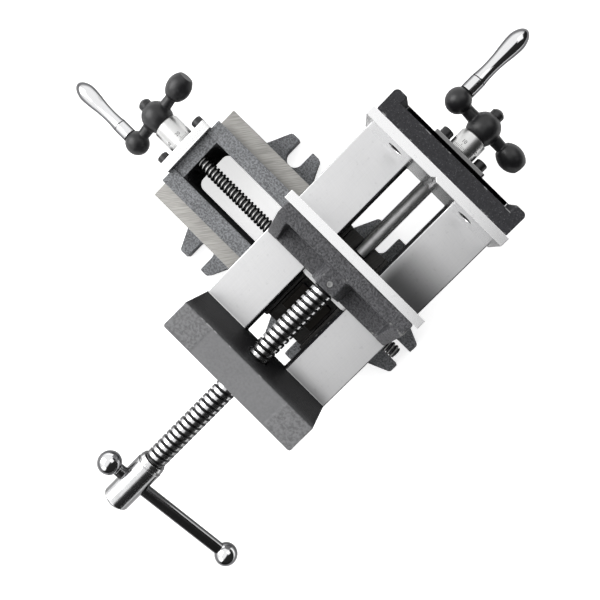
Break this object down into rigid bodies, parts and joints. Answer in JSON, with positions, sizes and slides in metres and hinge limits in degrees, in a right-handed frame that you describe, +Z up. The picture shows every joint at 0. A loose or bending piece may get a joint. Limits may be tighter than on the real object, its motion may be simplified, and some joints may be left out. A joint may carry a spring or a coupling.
{
  "type": "cross slide vise",
  "caption": "Compound vise whose jaws ride on two crossed dovetail slides, each moved by a ball crank and lead screw.",
  "frame": {"origin": "centre of the base casting's underside", "axes": "+X along the base slide away from its crank, +Y along the vise from the T-handle to the fixed jaw, +Z up"},
  "size_m": [0.3093, 0.3865, 0.131],
  "materials": {
    "grey_paint": "grey paint on rough casting",
    "dark_paint": "charcoal paint on casting",
    "machined_iron": "milled and scraped",
    "nut_bronze": "plain turned",
    "plate_steel": "milled",
    "jaw_steel": "ground",
    "screw_steel": "cut thread, oiled",
    "main_steel": "bright plated",
    "dial_steel": "satin, engraved lines",
    "black_finish": "satin black",
    "chrome": "polished",
    "fastener_black": "black oxide"
  },
  "bodies": {
    "base": {"base_casting": "grey_paint", "x_bearing_plate": "plate_steel", "x_plate_screws": "fastener_black"},
    "x_feed": {"x_lead_screw": "screw_steel", "x_dial": "dial_steel", "x_dial_screw": "fastener_black", "x_crank": "black_finish", "x_cap_nut": "black_finish", "x_handle_stem": "chrome"},
    "x_grip": {"x_handle_grip": "chrome"},
    "saddle": {"saddle_casting": "machined_iron", "x_feed_nut": "nut_bronze", "x_nut_screws": "fastener_black", "y_feed_nut": "nut_bronze", "y_nut_screws": "fastener_black", "x_gib": "machined_iron", "x_gib_screws": "fastener_black", "x_gib_locknuts": "fastener_black"},
    "vise": {"vise_body_casting": "dark_paint", "y_gib": "machined_iron", "y_gib_screws": "fastener_black", "y_gib_locknuts": "fastener_black", "fixed_jaw_plate": "jaw_steel", "fixed_jaw_screws": "fastener_black", "y_bearing_plate": "plate_steel", "y_plate_screws": "fastener_black"},
    "y_feed": {"y_lead_screw": "screw_steel", "y_dial": "dial_steel", "y_dial_screw": "fastener_black", "y_crank": "black_finish", "y_cap_nut": "black_finish", "y_handle_stem": "chrome"},
    "y_grip": {"y_handle_grip": "chrome"},
    "moving_jaw": {"moving_jaw_casting": "dark_paint", "moving_jaw_plate": "jaw_steel", "moving_jaw_screws": "fastener_black", "jaw_set_screw": "fastener_black", "keeper_plate": "plate_steel", "keeper_screws": "fastener_black"},
    "main_screw": {"main_screw": "main_steel"},
    "t_bar": {"t_bar": "chrome", "t_bar_ball_left": "chrome", "t_bar_ball_right": "chrome"}
  },
  "joints": [
    {"name": "x_crank_turn", "type": "hinge", "parent": "base", "child": "x_feed", "pos_m": [-0.101, 0, 0.038], "axis": [1, 0, 0], "range_deg": [-961, 10021]},
    {"name": "x_grip_spin", "type": "hinge", "parent": "x_feed", "child": "x_grip", "pos_m": [-0.15, -0.02349, 0.03037], "axis": [1, 0, 0], "continuous": true},
    {"name": "saddle_slide", "type": "slide", "parent": "base", "child": "saddle", "axis": [1, 0, 0], "range_m": [-0.0835, 0.008]},
    {"name": "body_slide", "type": "slide", "parent": "saddle", "child": "vise", "axis": [0, 1, 0], "range_m": [-0.037, 0.027]},
    {"name": "y_crank_turn", "type": "hinge", "parent": "vise", "child": "y_feed", "pos_m": [0.038, 0.121, 0.059], "axis": [0, 1, 0], "range_deg": [-4441, 3241]},
    {"name": "y_grip_spin", "type": "hinge", "parent": "y_feed", "child": "y_grip", "pos_m": [0.01384, 0.17, 0.06413], "axis": [0, 1, 0], "continuous": true},
    {"name": "jaw_slide", "type": "slide", "parent": "vise", "child": "moving_jaw", "axis": [0, 1, 0], "range_m": [-0.044, 0.0579]},
    {"name": "main_screw_turn", "type": "hinge", "parent": "moving_jaw", "child": "main_screw", "pos_m": [0.038, 0, 0.11], "axis": [0, 1, 0], "range_deg": [-3961, 5212]},
    {"name": "t_bar_slide", "type": "slide", "parent": "main_screw", "child": "t_bar", "axis": [0.9659, 0, -0.2588], "range_m": [-0.0604, 0.0024]}
  ],
  "couplings": [
    {"joint": "x_crank_turn", "follows": "saddle_slide", "rad_per_m": -2094.4},
    {"joint": "y_crank_turn", "follows": "body_slide", "rad_per_m": 2094.4},
    {"joint": "main_screw_turn", "follows": "jaw_slide", "rad_per_m": 1570.8}
  ]
}
